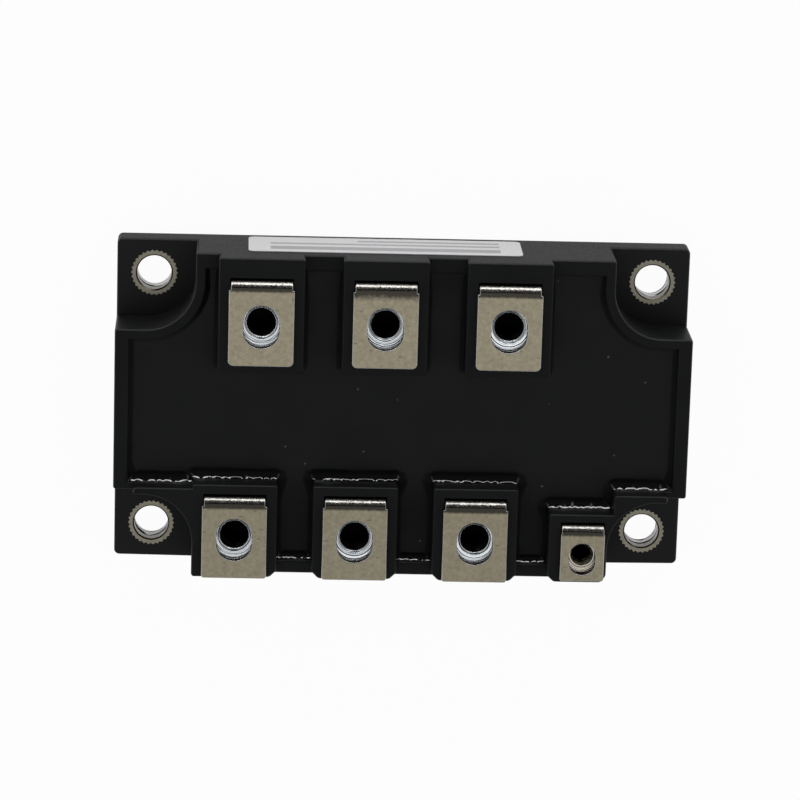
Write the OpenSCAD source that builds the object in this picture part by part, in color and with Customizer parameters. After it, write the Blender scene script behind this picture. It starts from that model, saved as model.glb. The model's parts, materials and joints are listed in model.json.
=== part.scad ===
// Three-phase bridge rectifier module with a series thyristor, in a potted black case.
// The origin is the middle of the mounting plane under the base plate. X runs along the module,
// +Y points to the long wall that carries the label, and +Z points to the terminal face.

/* [Case] */
// Length of the case over its two ends
body_l = 108; // [102:1:118]
// Width of the case over its two long walls
body_w = 62; // [58:1:70]
// Height of the case rim above the mounting plane
rim_z = 17.2; // [16:0.1:22]
// Rise of the terminal blocks above the rim
block_rise = 3.6; // [2.5:0.1:6]
// Thickness of the two end walls
end_wall = 2.7; // [2:0.1:3.6]
// Thickness of the two long walls
long_wall = 3.0; // [2.6:0.1:3.3]
// Radius of the upright corners of the case
corner_r = 1.0; // [0.5:0.1:2]
// Chamfer on the outer corners of the front terminal blocks
block_chamfer = 1.8; // [0.8:0.1:2.2]
// Lean of the front wall above the ears, measured at the top of the blocks
front_draft = 0.6; // [0.2:0.1:0.8]
// Gap under the case when the base plate stands on a flat surface
case_lift = 0.2; // [0.1:0.05:0.5]
// Thickness of the ledge that seats on the base plate
ledge_t = 1.5; // [1:0.1:2]

/* [Mounting ears] */
// Thickness of the four ears
ear_t = 5.5; // [5:0.1:8]
// Distance from a mounting hole's centre to the end of the case
ear_edge_x = 7.0; // [6:0.1:8]
// Distance from a mounting hole's centre to the long side of the case
ear_edge_y = 6.5; // [6:0.1:8]
// Room from a mounting hole's centre to the wall beside it
ear_room_x = 7.9; // [6.5:0.1:9]
// Room from a rear mounting hole's centre to the wall behind it
ear_room_rear = 8.3; // [6.5:0.1:9.5]
// Room from a front mounting hole's centre to the wall behind it
ear_room_front = 9.8; // [8:0.1:10.5]
// Radius of the round corner in each ear's pocket
ear_pocket_r = 9.2; // [5:0.1:11]
// Thickness of the wall around each rear ear's pocket
ear_wall = 2.0; // [1.6:0.1:2.4]
// Thickness of the raised deck between the potting and each front ear's pocket
deck_wall = 1.4; // [1:0.1:1.8]
// Distance from the end of the case to the raised deck
deck_end = 3.8; // [3.2:0.1:6]
// Radius of the deck's corners
deck_corner_r = 0.7; // [0.3:0.1:0.7]
// Distance from the side of a front ear's pocket to the deck beside the gate block
deck_step = 1.0; // [0.8:0.1:2]

/* [Mounting sleeves] */
// Bore of a mounting sleeve
sleeve_bore = 6.5; // [5.2:0.1:7]
// Outside diameter of a sleeve over its knurl
sleeve_od = 8.8; // [8.2:0.1:9.6]
// Depth of the knurl
knurl_depth = 0.32; // [0.1:0.02:0.5]
// Number of knurl teeth
knurl_teeth = 30; // [20:1:40]
// Chamfer at each mouth of a sleeve's bore
sleeve_chamfer = 0.25; // [0.1:0.05:0.5]

/* [Terminal rows] */
// Width of a terminal block
block_w = 16; // [14.5:0.1:17]
// Width of the gate terminal's block
gate_block_w = 11.1; // [10.5:0.1:12]
// Gap between the left ear wall and the first rear block
rear_gap_left = 2.3; // [1.5:0.1:4]
// Gap between the last rear block and the right ear wall
rear_gap_right = 9.9; // [8:0.1:12]
// Gap between the last front block and the gate block
gate_gap = 5.9; // [4:0.1:7]
// Depth of the blocks below the potting
block_depth = 7.2; // [6.4:0.1:8]

/* [Main terminals] */
// Width of a terminal pad
pad_w = 12.2; // [10:0.1:14]
// Length of a rear pad from the outside of its bend to its end
rear_pad_len = 16.1; // [15.4:0.05:18]
// Length of a front pad from the outside of its bend to its end
front_pad_len = 15.65; // [15.2:0.05:16.5]
// Thickness of the terminal strip
strip_t = 1.2; // [0.8:0.1:1.5]
// Outside radius of the bends
bend_r = 1.6; // [1.5:0.1:2.4]
// Corner radius at the end of a rear pad
rear_corner_r = 1.0; // [0.4:0.1:2]
// Corner radius at the end of a front pad and of the gate pad
front_corner_r = 0.5; // [0.2:0.1:1.2]
// Width of the strip at its bend
neck_w = 11.5; // [9.5:0.1:12]
// Width of the strip's leg inside the block
leg_w = 9; // [6:0.1:9.2]
// Depth of the wide part of the strip below its bend
shoulder = 1.5; // [0.5:0.1:3]
// Width of the oblong hole in a pad
pad_hole_w = 6.7; // [6.2:0.1:7.2]
// Length of the oblong hole in a pad
pad_hole_len = 8.1; // [7.4:0.1:9]
// Distance from the end of a pad to the middle of its hole
pad_hole_end = 7.5; // [6.5:0.1:8]
// Length of the foot that is soldered to the substrate
foot_len = 6.5; // [4:0.1:8]
// Distance from the rear wall's face to the bend of a rear terminal
rear_inset = 4.15; // [3.6:0.05:5]
// Distance from the inner end of a rear block to the end of its pad
rear_pad_margin = 1.55; // [0.5:0.05:3]
// Distance from the inner end of a front block to the bend of its terminal
front_inset = 2.2; // [1.3:0.1:2.5]
// Distance from the front wall's face to the end of a front pad
front_pad_margin = 0.65; // [0.2:0.05:1]

/* [Gate terminal] */
// Width of the gate pad
gate_pad_w = 8.3; // [7:0.1:9]
// Length of the gate pad from the outside of its bend to its end
gate_pad_len = 10.8; // [10.2:0.1:12]
// Width of the gate strip at its bend
gate_neck_w = 8.0; // [6:0.1:8.2]
// Width of the gate strip's leg inside the block
gate_leg_w = 2.4; // [1.8:0.1:2.6]
// Distance from the side of the gate block to the gate pad
gate_side_margin = 0.55; // [0.5:0.05:1]
// Width of the oblong hole in the gate pad
gate_hole_w = 4.9; // [4.3:0.1:5.3]
// Length of the oblong hole in the gate pad
gate_hole_len = 6.1; // [5.4:0.1:6.6]
// Distance from the end of the gate pad to the middle of its hole
gate_hole_end = 4.3; // [3.8:0.1:5]
// Length of the gate terminal's foot
gate_foot_len = 4.5; // [3:0.1:5]
// Distance from the inner end of the gate block to the bend of its terminal
gate_inset = 1.9; // [1.2:0.1:2.2]
// Distance from the front wall's face to the end of the gate pad
gate_pad_margin = 1.2; // [0.4:0.1:2]

/* [Nuts] */
// Width across flats of a terminal nut
nut_af = 10; // [9:0.1:10.5]
// Height of a terminal nut
nut_h = 5.0; // [4:0.1:5.5]
// Radius of a terminal nut's threaded hole at the thread's crests
nut_bore_r = 2.5; // [2:0.05:2.6]
// Width across flats of the gate nut
gate_nut_af = 7; // [6.4:0.1:7.4]
// Height of the gate nut
gate_nut_h = 3.2; // [2.6:0.1:4]
// Radius of the gate nut's threaded hole at the thread's crests
gate_nut_bore_r = 1.65; // [1.3:0.05:1.8]
// Shift of each nut from the middle of its pad's hole towards the rear
nut_shift = 0.6; // [0:0.1:0.7]
// Chamfer at the mouth of a nut's hole
nut_chamfer = 0.6; // [0.3:0.1:0.8]

/* [Base and filling] */
// Thickness of the base plate
plate_t = 3.0; // [2.5:0.1:3.2]
// Corner radius of the base plate
plate_corner_r = 2.0; // [0.5:0.1:4]
// Width of case left outside the base plate along each long side
plate_margin = 2.0; // [1.6:0.1:2.4]
// Width of case left between the base plate and a sleeve
plate_sleeve_gap = 2.0; // [1.5:0.1:3]
// Width of the ledge over the base plate's long edges
ledge_w = 1.5; // [1.3:0.1:2]
// Drop of the potting's surface below the rim
potting_drop = 2.0; // [1:0.1:3]
// Rise of the gel above the bottom of the terminal blocks
gel_rise = 1.0; // [0.5:0.1:2]

/* [Substrate and chips] */
// Thickness of the ceramic substrate
ceramic_t = 0.7; // [0.4:0.05:1]
// Gap between the ceramic and the case
ceramic_gap = 0.6; // [0.4:0.1:1]
// Thickness of the copper tracks
track_t = 0.3; // [0.2:0.05:0.5]
// Bare ceramic around the tracks
track_edge = 0.8; // [0.5:0.1:1.2]
// Gap between neighbouring tracks
track_gap = 1.5; // [1:0.1:2]
// Width of an input track
ac_track_w = 16; // [14.5:0.1:17]
// Width of the minus track
minus_track_w = 4.5; // [4:0.1:5]
// Width of the plus track
plus_track_w = 14; // [13:0.1:15]
// Side of a diode chip
diode_side = 8; // [6:0.1:8.4]
// Side of the thyristor chip
thyristor_side = 11; // [9:0.1:11.4]
// Thickness of the chips
chip_t = 0.4; // [0.3:0.05:0.6]
// Bare track left beside a chip
chip_edge = 1; // [0.5:0.1:1.2]
// Bare track left beside a terminal's foot
foot_edge = 0.3; // [0.1:0.1:0.6]
// Width of a chip strap
strap_w = 5; // [3:0.1:6]
// Thickness of the strap sheet
strap_t = 0.5; // [0.3:0.05:0.6]
// Height of a strap's arch above the tracks
strap_rise = 2.6; // [2:0.1:3]
// Length of a strap's feet
strap_foot = 3; // [2:0.1:3.6]
// Width of the gate lead
gate_lead_w = 1.2; // [0.8:0.1:1.6]
// Share of the room before the gate terminal's leg that the gate lead's foot takes
gate_lead_share = 0.5; // [0.3:0.05:0.7]

/* [Label] */
// Length of the label
label_l = 51.2; // [40:0.1:56]
// Height of the label
label_h = 12.3; // [8:0.1:14]
// Height of the label's lower edge above the mounting plane
label_z = 2.4; // [0.5:0.1:3]
// Thickness of the label
label_t = 0.12; // [0.05:0.01:0.2]
// Corner radius of the label
label_corner_r = 1.2; // [0.5:0.1:2]

/* [Clearances] */
// Clearance around each nut in its pocket
nut_clear = 0.1; // [0.05:0.01:0.15]
// Gap between a nut and the pad above it
nut_gap = 0.2; // [0.1:0.05:0.4]
// Clearance around a terminal strip in its slot
slot_clear = 0.15; // [0.1:0.01:0.25]
// Gap behind the bend of a terminal
bend_gap = 0.4; // [0.2:0.05:0.5]
// Clearance around a screw's tip below the nut
tip_clear = 0.8; // [0.5:0.1:1]
// Plastic left under a screw's tip
tip_floor = 2.0; // [1:0.1:2.4]
// Clearance between the base plate's edge and the case
plate_clear = 0.1; // [0.05:0.01:0.2]

/* [Hidden] */
$fn = 64;
// Overshoot of cuts, so that no cut ends on the face that it opens
over = 1;

half_l = body_l / 2;
half_w = body_w / 2;
hole_x = half_l - ear_edge_x;
hole_y = half_w - ear_edge_y;
pocket_x = hole_x - ear_room_x;
pocket_rear = hole_y - ear_room_rear;
pocket_front = -hole_y + ear_room_front;

block_z = rim_z + block_rise;
pad_top_z = block_z + strip_t;
top_bend_z = pad_top_z - bend_r;
potting_z = rim_z - potting_drop;
block_bottom = potting_z - block_depth;
gel_top = block_bottom + gel_rise;
floor_z = plate_t + ledge_t;
track_z = plate_t + ceramic_t;
chip_z = track_z + track_t;
strap_z = chip_z + chip_t;

plate_half_l = hole_x - sleeve_od / 2 - plate_sleeve_gap;
plate_half_w = half_w - plate_margin;
opening_half_l = pocket_x - ear_wall;
opening_half_w = plate_half_w - ledge_w;
ceramic_half_l = opening_half_l - ceramic_gap;
ceramic_half_w = opening_half_w - ceramic_gap;
track_half_l = ceramic_half_l - track_edge;
track_half_w = ceramic_half_w - track_edge;

// Rows of terminals: three inputs at the rear, three outputs and the gate at the front
rear_left = -pocket_x + ear_wall + rear_gap_left;
rear_right = pocket_x - ear_wall - rear_gap_right;
rear_pitch = (rear_right - rear_left - block_w) / 2;
rear_x = [for (i = [0:2]) rear_left + block_w / 2 + i * rear_pitch];
gate_left = pocket_x - gate_block_w;
front_pitch = (gate_left - gate_gap + pocket_x - block_w) / 2;
front_x = [for (i = [0:2]) -pocket_x + block_w / 2 + i * front_pitch];
gate_x = pocket_x - gate_side_margin - gate_pad_w / 2;
deck_x = pocket_x + deck_step;
deck_y = pocket_front + deck_wall;

rear_leg_y = half_w - rear_inset;
rear_end_y = rear_leg_y - rear_pad_len - rear_pad_margin;
front_leg_y = -half_w + front_pad_margin + front_pad_len;
front_end_y = front_leg_y + front_inset;
gate_leg_y = -half_w + gate_pad_margin + gate_pad_len;
gate_end_y = gate_leg_y + gate_inset;
rear_hole_y = rear_leg_y - rear_pad_len + pad_hole_end;
front_hole_y = front_leg_y - front_pad_len + pad_hole_end;
gate_hole_y = gate_leg_y - gate_pad_len + gate_hole_end;

// Bands of copper on the substrate, from the rear to the front
ac_y1 = track_half_w;
ac_y0 = ac_y1 - ac_track_w;
minus_y1 = ac_y0 - track_gap;
minus_y0 = minus_y1 - minus_track_w;
plus_y1 = minus_y0 - track_gap;
plus_y0 = plus_y1 - plus_track_w;
out_y1 = plus_y0 - track_gap;
out_y0 = -track_half_w;

// Each phase has its lower chip on one side of the terminal's axis and its upper chip on the other
phase_side = [1, 1, -1];
chip_offset = (diode_side + chip_edge) / 2;
lower_y = ac_y0 + chip_edge + diode_side / 2;
upper_y = (plus_y0 + plus_y1) / 2;
function upper_x(i) = rear_x[i] + phase_side[i] * chip_offset;
function lower_x(i) = rear_x[i] - phase_side[i] * chip_offset;
plus_left = upper_x(0) - diode_side / 2 - chip_edge;
thyristor_x = track_half_l - chip_edge - thyristor_side / 2;
gate_track_x = gate_x - gate_leg_w / 2 - foot_edge;
gate_lead_foot = gate_lead_share * (out_y1 - strap_t - gate_leg_y);

case_colour = "#1c1d1f";
potting_colour = "#161718";
nickel_colour = "#b9b2a4";
zinc_colour = "#c9d0d6";
copper_colour = "#b87346";

// Rectangle between two corners, in any order
module rect(xa, xb, ya, yb) {
    translate([min(xa, xb), min(ya, yb)]) square([abs(xb - xa), abs(yb - ya)]);
}

// Rectangle between two corners with round corners
module round_rect(xa, xb, ya, yb, r) {
    rect(xa + r, xb - r, ya, yb);
    rect(xa, xb, ya + r, yb - r);
    for (x = [xa + r, xb - r], y = [ya + r, yb - r]) translate([x, y]) circle(r);
}

// Outline drawn up from one height to another
module between(za, zb) {
    translate([0, 0, za]) linear_extrude(zb - za) children();
}

// Profile drawn in Y and Z, centred on an X position and drawn out to a width
module across(x, w) {
    translate([x - w / 2, 0, 0]) rotate([90, 0, 90]) linear_extrude(w) children();
}

// Outline of the pocket over one ear, or of the wall around it when grown
module ear_pocket(side, row, grow = 0) {
    x0 = side * (pocket_x - grow);
    y0 = row < 0 ? pocket_front + grow : pocket_rear - grow;
    x1 = side * (half_l + over);
    y1 = row * (half_w + over);
    r = ear_pocket_r + grow;
    xc = x0 + side * r;
    yc = y0 + row * r;
    rect(xc, x1, y0, y1);
    rect(x0, x1, yc, y1);
    intersection() {
        translate([xc, yc]) circle(r);
        rect(x0, xc, y0, yc);
    }
}

module ear_pockets(rear_grow = 0, front_grow = 0) {
    for (side = [-1, 1]) {
        ear_pocket(side, 1, rear_grow);
        ear_pocket(side, -1, front_grow);
    }
}

module case_outline() {
    round_rect(-half_l, half_l, -half_w, half_w, corner_r);
}

module body_outline() {
    difference() {
        case_outline();
        ear_pockets();
    }
}

// Inside of the walls, which the gel and the potting fill
module pool_outline() {
    difference() {
        rect(-half_l + end_wall, half_l - end_wall, -half_w + long_wall, half_w - long_wall);
        ear_pockets(ear_wall, deck_wall);
        decks(half_l);
    }
}

// Decks beside the front ears, out to a distance from the middle
module decks(reach) {
    round_rect(-reach, -pocket_x + 2 * deck_step, -half_w, deck_y, deck_corner_r);
    round_rect(deck_x, reach, -half_w, deck_y, deck_corner_r);
}

// Front block with its two outer corners cut off
module front_block(x0, x1, end_y) {
    c = block_chamfer;
    polygon([[x0, end_y], [x1, end_y], [x1, -half_w + c], [x1 - c, -half_w],
        [x0 + c, -half_w], [x0, -half_w + c]]);
}

module block_outlines() {
    for (x = rear_x) rect(x - block_w / 2, x + block_w / 2, rear_end_y, half_w);
    for (x = front_x) front_block(x - block_w / 2, x + block_w / 2, front_end_y);
    front_block(gate_left, pocket_x, gate_end_y);
    rect(gate_left + block_chamfer, deck_x + deck_corner_r, pocket_front - ear_pocket_r, gate_end_y);
}

// Wedge cut off the front wall, which leans back above the ears
module front_wedge() {
    face_y = -half_w + front_draft;
    across(0, body_l) polygon([[-half_w, ear_t], [face_y, block_z], [face_y, block_z + over],
        [-half_w - over, block_z + over], [-half_w - over, ear_t]]);
}

module opening_outline() {
    rect(-opening_half_l, opening_half_l, -opening_half_w, opening_half_w);
}

module plate_outline(grow = 0) {
    round_rect(-plate_half_l - grow, plate_half_l + grow, -plate_half_w - grow,
        plate_half_w + grow, plate_corner_r + grow);
}

module knurl_outline() {
    tip_r = sleeve_od / 2;
    polygon([for (i = [0:2 * knurl_teeth - 1])
        let (r = i % 2 == 0 ? tip_r : tip_r - knurl_depth, a = i * 180 / knurl_teeth)
        [r * cos(a), r * sin(a)]]);
}

// Six-sided outline with two flats across Y
module hex_outline(af) {
    circle(r = af / sqrt(3), $fn = 6);
}

// Pocket for a nut and for the tip of a screw below it
module nut_pocket(x, y, af, h, bore_r) {
    translate([x, y, 0]) between(block_z - nut_gap - h, block_z + over) hex_outline(af + 2 * nut_clear);
    translate([x, y, block_bottom + tip_floor])
        cylinder(r = bore_r + tip_clear, h = block_z - h - block_bottom - tip_floor);
}

// Slot that a terminal's strip goes down through
module strip_slot(x, leg_y, w) {
    between(block_bottom - over, block_z + over)
        rect(x - w / 2 - slot_clear, x + w / 2 + slot_clear,
            leg_y - bend_r - slot_clear, leg_y + bend_gap);
}

module case() {
    color(case_colour) difference() {
        union() {
            difference() {
                union() {
                    between(case_lift, ear_t) case_outline();
                    between(case_lift, rim_z) body_outline();
                }
                between(floor_z, rim_z + over) pool_outline();
                between(plate_t - over, floor_z + over) opening_outline();
            }
            between(block_bottom, block_z) intersection() {
                block_outlines();
                body_outline();
            }
            between(rim_z - over, block_z) difference() {
                decks(half_l - deck_end);
                ear_pockets();
            }
        }
        front_wedge();
        between(case_lift - over, plate_t) plate_outline(plate_clear);
        for (x = [-hole_x, hole_x], y = [-hole_y, hole_y])
            translate([x, y, 0]) between(case_lift - over, ear_t + over) knurl_outline();
        for (x = rear_x) {
            nut_pocket(x, rear_hole_y + nut_shift, nut_af, nut_h, nut_bore_r);
            strip_slot(x, rear_leg_y, neck_w);
        }
        for (x = front_x) {
            nut_pocket(x, front_hole_y + nut_shift, nut_af, nut_h, nut_bore_r);
            strip_slot(x, front_leg_y, neck_w);
        }
        nut_pocket(gate_x, gate_hole_y + nut_shift, gate_nut_af, gate_nut_h, gate_nut_bore_r);
        strip_slot(gate_x, gate_leg_y, gate_neck_w);
    }
}

module base_plate() {
    color(nickel_colour) between(0, plate_t) plate_outline();
}

module sleeve(x, y) {
    c = sleeve_chamfer;
    r = sleeve_bore / 2;
    color(nickel_colour) translate([x, y, 0]) difference() {
        between(0, ear_t) knurl_outline();
        translate([0, 0, -over]) cylinder(r = r, h = ear_t + 2 * over);
        translate([0, 0, ear_t - c]) cylinder(r1 = r, r2 = r + 2 * c, h = 2 * c);
        translate([0, 0, -c]) cylinder(r1 = r + 2 * c, r2 = r, h = 2 * c);
    }
}

// Quarter of a bend, from the flat on one side to the upright on the other
module bend(y, z, up) {
    intersection() {
        translate([y, z]) difference() {
            circle(bend_r);
            circle(bend_r - strip_t);
        }
        rect(y, y + 2 * bend_r, z, z + up * 2 * bend_r);
    }
}

// Narrow part of the strip seen from its edge: leg, second bend and foot
module leg_profile(leg_y, foot) {
    foot_bend_z = chip_z + bend_r;
    rect(leg_y - strip_t, leg_y, foot_bend_z, top_bend_z);
    bend(leg_y - bend_r, foot_bend_z, -1);
    rect(leg_y - foot, leg_y - bend_r, chip_z, chip_z + strip_t);
}

// Wide part of the strip, from the pad round the bend to the shoulders
module neck_profile(leg_y) {
    bend(leg_y - bend_r, top_bend_z, 1);
    rect(leg_y - strip_t, leg_y, top_bend_z - shoulder, top_bend_z);
}

module oblong(x, y, w, len) {
    shift = (len - w) / 2;
    for (s = [-1, 1]) translate([x, y + s * shift]) circle(w / 2);
    rect(x - w / 2, x + w / 2, y - shift, y + shift);
}

module terminal(x, leg_y, w, len, neck, leg, hole_w, hole_len, hole_end, foot, r) {
    end_y = leg_y - len;
    root_y = leg_y - bend_r;
    color(nickel_colour) {
        between(block_z, pad_top_z) difference() {
            union() {
                rect(x - w / 2, x + w / 2, end_y + r, root_y);
                rect(x - w / 2 + r, x + w / 2 - r, end_y, root_y);
                for (s = [-1, 1]) translate([x + s * (w / 2 - r), end_y + r]) circle(r);
            }
            oblong(x, end_y + hole_end, hole_w, hole_len);
        }
        across(x, neck) neck_profile(leg_y);
        across(x, leg) leg_profile(leg_y, foot);
    }
}

module main_terminal(x, leg_y, len, corner_r) {
    terminal(x, leg_y, pad_w, len, neck_w, leg_w, pad_hole_w, pad_hole_len, pad_hole_end, foot_len,
        corner_r);
}

module rear_terminal(i) {
    main_terminal(rear_x[i], rear_leg_y, rear_pad_len, rear_corner_r);
}

module front_terminal(i) {
    main_terminal(front_x[i], front_leg_y, front_pad_len, front_corner_r);
}

module terminal_gate() {
    terminal(gate_x, gate_leg_y, gate_pad_w, gate_pad_len, gate_neck_w, gate_leg_w,
        gate_hole_w, gate_hole_len, gate_hole_end, gate_foot_len, front_corner_r);
}

module nut(x, y, af, h, r) {
    c = nut_chamfer;
    top_z = block_z - nut_gap;
    color(zinc_colour) translate([x, y, top_z - h]) difference() {
        between(0, h) hex_outline(af);
        translate([0, 0, -over]) cylinder(r = r, h = h + 2 * over);
        translate([0, 0, h - c]) cylinder(r1 = r, r2 = r + 2 * c, h = 2 * c);
    }
}

module main_nut(x, hole_y) {
    nut(x, hole_y + nut_shift, nut_af, nut_h, nut_bore_r);
}

module nut_gate() {
    nut(gate_x, gate_hole_y + nut_shift, gate_nut_af, gate_nut_h, gate_nut_bore_r);
}

module potting() {
    color(potting_colour) between(gel_top, potting_z) difference() {
        pool_outline();
        block_outlines();
    }
}

// Everything that is soldered to the base plate and lies in the gel
module power_stage() {
    ceramic_substrate();
    for (i = [0:2]) {
        track_ac(i);
        lower_diode(i);
        upper_diode(i);
        lower_strap(i);
        upper_strap(i);
        rear_terminal(i);
        front_terminal(i);
    }
    track_minus();
    track_plus();
    track_switched_plus();
    track_gate();
    thyristor_chip();
    cathode_strap();
    gate_lead();
    terminal_gate();
}

module silicone_gel() {
    color("#dfe6ea") difference() {
        union() {
            between(plate_t, floor_z) opening_outline();
            between(floor_z, gel_top) pool_outline();
        }
        between(block_bottom, gel_top + over) block_outlines();
        power_stage();
    }
}

module ceramic_substrate() {
    color("#e9e6dc") between(plate_t, track_z)
        rect(-ceramic_half_l, ceramic_half_l, -ceramic_half_w, ceramic_half_w);
}

module track_ac(i) {
    w = block_w / 2 + track_gap / 2;
    color(copper_colour) between(track_z, chip_z) rect(rear_x[i] - w, rear_x[i] + w, ac_y0, ac_y1);
}

// Bar along the lower chips' straps, with an arm to the minus terminal
module track_minus() {
    color(copper_colour) between(track_z, chip_z) {
        rect(-track_half_l, lower_x(2) + diode_side / 2, minus_y0, minus_y1);
        rect(-track_half_l, plus_left - track_gap, out_y0, minus_y1);
        rect(-track_half_l, front_x[0] + leg_w / 2 + foot_edge, out_y0, out_y1);
    }
}

// Plate under the upper chips and the thyristor, with an arm to the plus terminal
module track_plus() {
    w = leg_w / 2 + foot_edge;
    color(copper_colour) between(track_z, chip_z) {
        rect(plus_left, track_half_l, plus_y0, plus_y1);
        rect(front_x[1] - w, front_x[1] + w, out_y0, plus_y1);
    }
}

module track_switched_plus() {
    color(copper_colour) between(track_z, chip_z)
        rect(front_x[2] - leg_w / 2 - foot_edge, gate_track_x - track_gap, out_y0, out_y1);
}

module track_gate() {
    color(copper_colour) between(track_z, chip_z) rect(gate_track_x, track_half_l, out_y0, out_y1);
}

module chip(x, y, side) {
    color("#4c4f55") between(chip_z, strap_z)
        rect(x - side / 2, x + side / 2, y - side / 2, y + side / 2);
}

module lower_diode(i) {
    chip(lower_x(i), lower_y, diode_side);
}

module upper_diode(i) {
    chip(upper_x(i), upper_y, diode_side);
}

module thyristor_chip() {
    chip(thyristor_x, upper_y, thyristor_side);
}

// Arched strap from the top of a chip to a track, both feet flat
module strap(x, w, chip_y, track_y, track_foot = strap_foot) {
    dir = track_y > chip_y ? 1 : -1;
    top = chip_z + strap_rise;
    t = strap_t;
    color(copper_colour) across(x, w) {
        rect(chip_y - dir * strap_foot, chip_y, strap_z, strap_z + t);
        rect(chip_y - dir * t, chip_y, strap_z, top);
        rect(chip_y - dir * t, track_y + dir * t, top - t, top);
        rect(track_y, track_y + dir * t, chip_z, top);
        rect(track_y, track_y + dir * track_foot, chip_z, chip_z + t);
    }
}

module lower_strap(i) {
    strap(lower_x(i), strap_w, lower_y - diode_side / 2 + strap_t, minus_y1 - strap_t);
}

module upper_strap(i) {
    strap(upper_x(i), strap_w, upper_y + diode_side / 2 - strap_t, ac_y0 + strap_t);
}

module cathode_strap() {
    x = gate_track_x - track_gap - strap_w / 2;
    strap(x, strap_w, upper_y - thyristor_side / 2 + strap_t, out_y1 - strap_t);
}

module gate_lead() {
    x = gate_track_x + gate_lead_w / 2;
    strap(x, gate_lead_w, upper_y - thyristor_side / 2 + strap_t, out_y1 - strap_t, gate_lead_foot);
}

// Blank sticker on the rear wall, under the middle input terminal
module label() {
    color("#e4e5e3") translate([rear_x[1], half_w + label_t, 0]) rotate([90, 0, 0])
        linear_extrude(label_t)
        round_rect(-label_l / 2, label_l / 2, label_z, label_z + label_h, label_corner_r);
}

case();
base_plate();
sleeve(-hole_x, hole_y);  // sleeve_rear_left
sleeve(hole_x, hole_y);  // sleeve_rear_right
sleeve(-hole_x, -hole_y);  // sleeve_front_left
sleeve(hole_x, -hole_y);  // sleeve_front_right
rear_terminal(0);  // terminal_ac_left
rear_terminal(1);  // terminal_ac_middle
rear_terminal(2);  // terminal_ac_right
front_terminal(0);  // terminal_minus
front_terminal(1);  // terminal_plus
front_terminal(2);  // terminal_switched_plus
terminal_gate();
main_nut(rear_x[0], rear_hole_y);  // nut_ac_left
main_nut(rear_x[1], rear_hole_y);  // nut_ac_middle
main_nut(rear_x[2], rear_hole_y);  // nut_ac_right
main_nut(front_x[0], front_hole_y);  // nut_minus
main_nut(front_x[1], front_hole_y);  // nut_plus
main_nut(front_x[2], front_hole_y);  // nut_switched_plus
nut_gate();
potting();
silicone_gel();
ceramic_substrate();
track_ac(0);  // track_ac_left
track_ac(1);  // track_ac_middle
track_ac(2);  // track_ac_right
track_minus();
track_plus();
track_switched_plus();
track_gate();
upper_diode(0);  // upper_diode_left
upper_diode(1);  // upper_diode_middle
upper_diode(2);  // upper_diode_right
lower_diode(0);  // lower_diode_left
lower_diode(1);  // lower_diode_middle
lower_diode(2);  // lower_diode_right
thyristor_chip();
upper_strap(0);  // upper_strap_left
upper_strap(1);  // upper_strap_middle
upper_strap(2);  // upper_strap_right
lower_strap(0);  // lower_strap_left
lower_strap(1);  // lower_strap_middle
lower_strap(2);  // lower_strap_right
cathode_strap();
gate_lead();
label();
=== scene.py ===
# %% [markdown]
# This lesson dresses a potted bridge rectifier module: a black moulded case, a pool of cast resin,
# seven bent screw terminals with nuts under them, and four knurled sleeves in the ears. The solids
# are loaded first, because the places below are read from them. A copied number would go wrong as
# soon as a solid changes, so boxes are asked for instead. Sizes are written in millimetres and
# multiplied by MM, because the scene is in metres.

# %% Load the solids
import json
import math

import bmesh
import bpy
from mathutils import Matrix, Vector, noise
from mathutils.bvhtree import BVHTree


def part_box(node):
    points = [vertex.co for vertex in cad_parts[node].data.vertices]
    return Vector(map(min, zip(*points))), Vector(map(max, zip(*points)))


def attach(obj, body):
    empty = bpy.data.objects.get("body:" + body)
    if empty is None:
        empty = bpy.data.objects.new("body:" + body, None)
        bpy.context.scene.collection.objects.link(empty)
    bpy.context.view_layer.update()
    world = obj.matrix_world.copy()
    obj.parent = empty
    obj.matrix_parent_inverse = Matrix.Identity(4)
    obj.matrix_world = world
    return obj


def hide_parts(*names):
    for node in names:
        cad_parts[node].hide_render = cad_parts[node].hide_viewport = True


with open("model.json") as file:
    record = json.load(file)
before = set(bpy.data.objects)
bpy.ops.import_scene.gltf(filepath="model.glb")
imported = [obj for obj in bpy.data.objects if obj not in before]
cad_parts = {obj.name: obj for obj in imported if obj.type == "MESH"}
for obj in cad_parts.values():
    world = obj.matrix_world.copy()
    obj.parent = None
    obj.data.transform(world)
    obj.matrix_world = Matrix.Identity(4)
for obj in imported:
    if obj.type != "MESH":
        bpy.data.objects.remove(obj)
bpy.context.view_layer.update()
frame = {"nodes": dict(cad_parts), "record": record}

MM = 0.001
nodes = frame["nodes"]


# %% [markdown]
# The camera stands above the module and a little behind it, so the wall with the label just shows.
# Its place could be found by eye. Here it was solved from the corners of the case, the ears and
# the pads, which gives a long lens about 80 cm away and almost no convergence.

# %% Camera
FRAME_PX = 800
FOCAL_PX = 4180
SENSOR_W = 36
CAMERA_PLACE = (-31.85, 201.18, 773.57)
camera_right = Vector((0.99903, 0.02809, 0.03400))
camera_up = Vector((-0.01857, 0.96720, -0.25338))
camera_back = Vector((-0.04000, 0.25250, 0.96677))
lens = bpy.data.cameras.new("studio_camera")
lens.sensor_width = SENSOR_W
lens.lens = FOCAL_PX / FRAME_PX * SENSOR_W
camera = bpy.data.objects.new("studio_camera", lens)
camera_axes = Matrix((camera_right, camera_up, camera_back)).transposed()
camera.rotation_mode = "QUATERNION"
camera.rotation_quaternion = camera_axes.to_quaternion()
camera.location = Vector(CAMERA_PLACE) * MM
bpy.context.scene.collection.objects.link(camera)
bpy.context.scene.camera = camera
print("lens in mm:", round(lens.lens, 1))

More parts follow.
